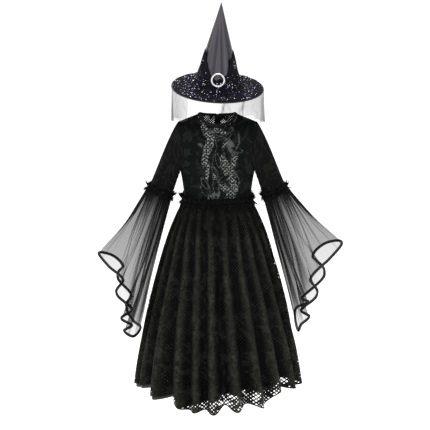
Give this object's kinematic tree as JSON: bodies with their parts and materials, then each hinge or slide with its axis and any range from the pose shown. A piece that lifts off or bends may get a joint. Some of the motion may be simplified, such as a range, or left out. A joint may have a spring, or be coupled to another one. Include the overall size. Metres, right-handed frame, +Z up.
{
  "type": "witch costume",
  "caption": "Child's witch costume, filled out as worn: a long lace dress with flounced tulle sleeves, and a pointed hat with a net veil; open at the neck, hem and sleeves.",
  "frame": {"origin": "level with the top of the neckband at the sides of the neck, midway between the shoulders, where the wearer's shoulders carry the dress (mount wearer_shoulders)", "axes": "+Z up along the dress and hat, the front towards -Y, the wearer's left towards +X"},
  "size_m": [0.866, 0.5614, 1.3893],
  "materials": {
    "lace": "matt black corded lace",
    "satin": "soft sheen, charcoal satin",
    "tulle": "fine black tulle",
    "binding": "black satin binding",
    "trim": "matt black frilled trim",
    "zip_metal": "blackened zip metal",
    "hat_satin": "grey satin with a sheen",
    "hat_net": "sequinned black net",
    "veil_net": "pale fine net",
    "silver": "silvered, polished"
  },
  "bodies": {
    "costume": {"bodice_front": "lace", "bodice_back_left": "lace", "bodice_back_right": "lace", "bodice_front_lining": "satin", "bodice_back_lining_left": "satin", "bodice_back_lining_right": "satin", "neckband": "binding", "zip_tape": "binding", "zip_slider": "zip_metal", "sleeve_left": "lace", "sleeve_right": "lace", "elbow_trim_left": "trim", "elbow_trim_right": "trim", "flounce_left": "tulle", "flounce_right": "tulle", "flounce_binding_left": "binding", "flounce_binding_right": "binding", "skirt_front": "lace", "skirt_back_left": "lace", "skirt_back_right": "lace", "skirt_lining_front": "satin", "skirt_lining_back_left": "satin", "skirt_lining_back_right": "satin", "waist_trim": "trim", "hat_crown": "hat_satin", "hat_brim": "hat_satin", "hat_brim_binding": "binding", "hat_net": "hat_net", "hat_buckle": "silver", "hat_veil": "veil_net"},
    "zip_pull": {"zip_pull": "zip_metal"}
  },
  "joints": [
    {"name": "zip_pull_swing", "type": "hinge", "parent": "costume", "child": "zip_pull", "pos_m": [0, 0.05598, -0.02118], "axis": [1, 0, 0], "range_deg": [0, 150]}
  ]
}
